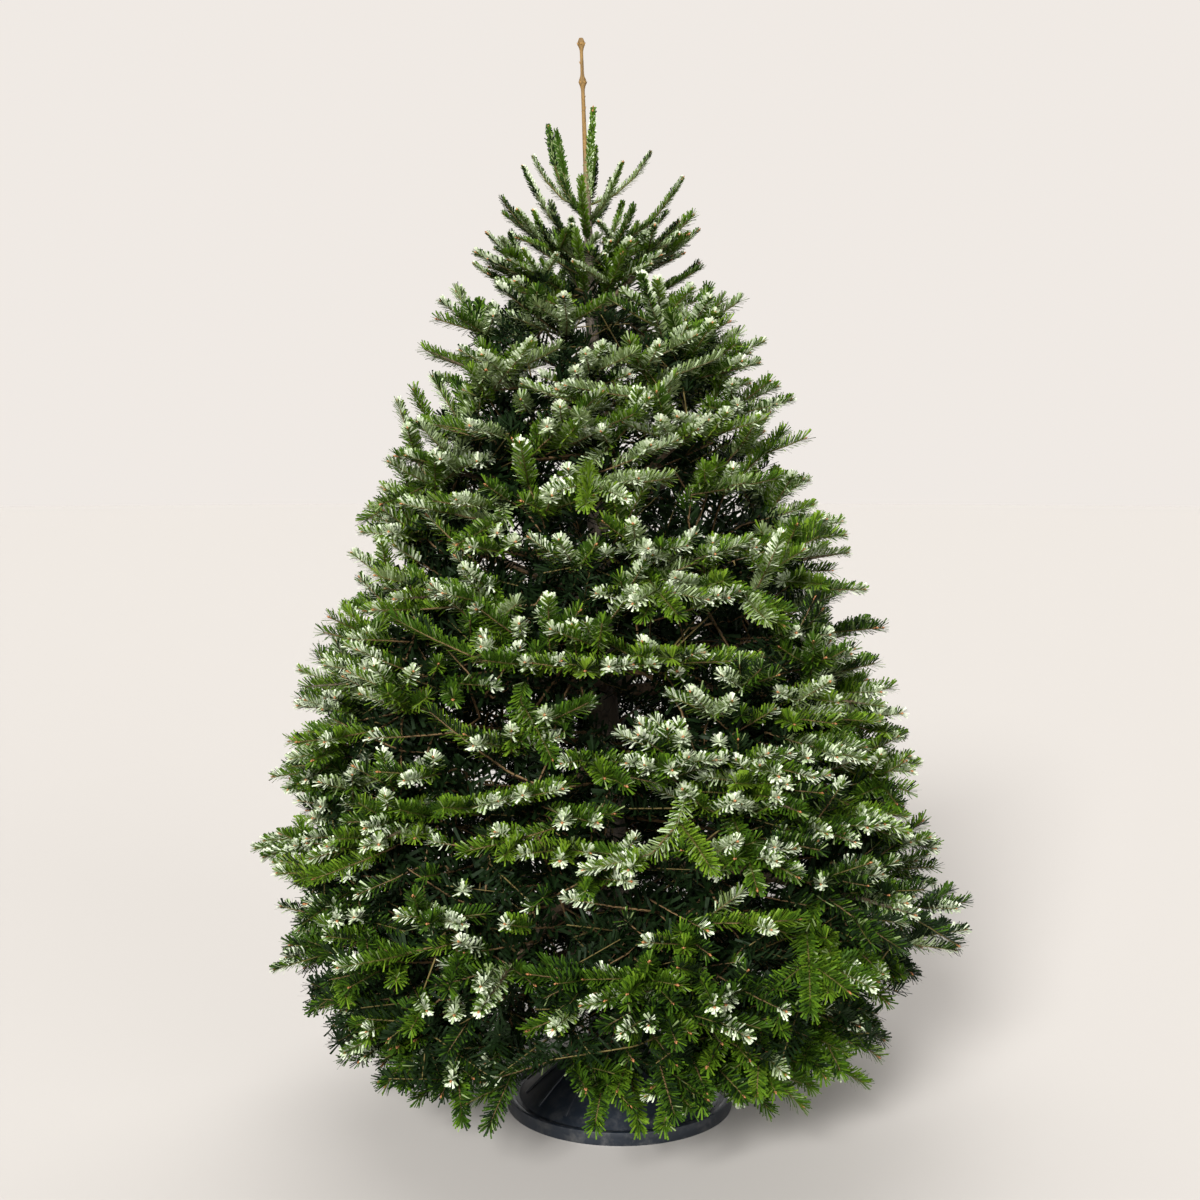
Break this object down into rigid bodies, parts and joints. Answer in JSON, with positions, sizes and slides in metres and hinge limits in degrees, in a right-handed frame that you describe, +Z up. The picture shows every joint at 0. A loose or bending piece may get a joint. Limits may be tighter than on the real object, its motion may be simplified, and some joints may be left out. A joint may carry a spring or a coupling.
{
  "type": "christmas tree",
  "caption": "Cut fir tree with a whole leaning trunk, whorled boughs, masses of needle shoots and a bare leader, standing in a round ribbed plastic stand.",
  "frame": {"origin": "middle of the stand's flat underside, on the floor", "axes": "+Z up along the tree; -Y is the side that the picture shows; the trunk leans towards -X"},
  "size_m": [1.4288, 1.3804, 2.13],
  "materials": {
    "stand_plastic": "dark slate moulded plastic, satin",
    "clamp_metal": "dark grey, satin",
    "trunk_bark": "grey-brown bark",
    "bough_bark": "tan bark of young boughs",
    "needles": "dark green needles with silvery undersides"
  },
  "bodies": {
    "root": {"leader_mass": "needles", "stand_base": "stand_plastic", "stand_clamp": "clamp_metal", "tier_1_bough_1": "bough_bark", "tier_1_bough_2": "bough_bark", "tier_1_bough_3": "bough_bark", "tier_1_bough_4": "bough_bark", "tier_1_bough_5": "bough_bark", "tier_1_mass_1": "needles", "tier_1_mass_2": "needles", "tier_1_mass_3": "needles", "tier_1_mass_4": "needles", "tier_1_mass_5": "needles", "tier_2_bough_1": "bough_bark", "tier_2_bough_2": "bough_bark", "tier_2_bough_3": "bough_bark", "tier_2_bough_4": "bough_bark", "tier_2_bough_5": "bough_bark", "tier_2_mass_1": "needles", "tier_2_mass_2": "needles", "tier_2_mass_3": "needles", "tier_2_mass_4": "needles", "tier_2_mass_5": "needles", "tier_3_bough_1": "bough_bark", "tier_3_bough_2": "bough_bark", "tier_3_bough_3": "bough_bark", "tier_3_bough_4": "bough_bark", "tier_3_bough_5": "bough_bark", "tier_3_mass_1": "needles", "tier_3_mass_2": "needles", "tier_3_mass_3": "needles", "tier_3_mass_4": "needles", "tier_3_mass_5": "needles", "tier_4_mass_1": "needles", "tier_4_mass_2": "needles", "tier_4_mass_3": "needles", "tier_4_mass_4": "needles", "tier_4_mass_5": "needles", "tier_5_mass_1": "needles", "tier_5_mass_2": "needles", "tier_5_mass_3": "needles", "tier_5_mass_4": "needles", "tier_5_mass_5": "needles", "tier_6_mass_1": "needles", "tier_6_mass_2": "needles", "tier_6_mass_3": "needles", "tier_6_mass_4": "needles", "tier_7_mass_1": "needles", "tier_7_mass_2": "needles", "tier_7_mass_3": "needles", "tier_7_mass_4": "needles", "tier_8_mass_1": "needles", "tier_8_mass_2": "needles", "tier_8_mass_3": "needles", "tier_8_mass_4": "needles", "tier_9_mass_1": "needles", "tier_9_mass_2": "needles", "tier_9_mass_3": "needles", "trunk": "trunk_bark"}
  },
  "joints": []
}
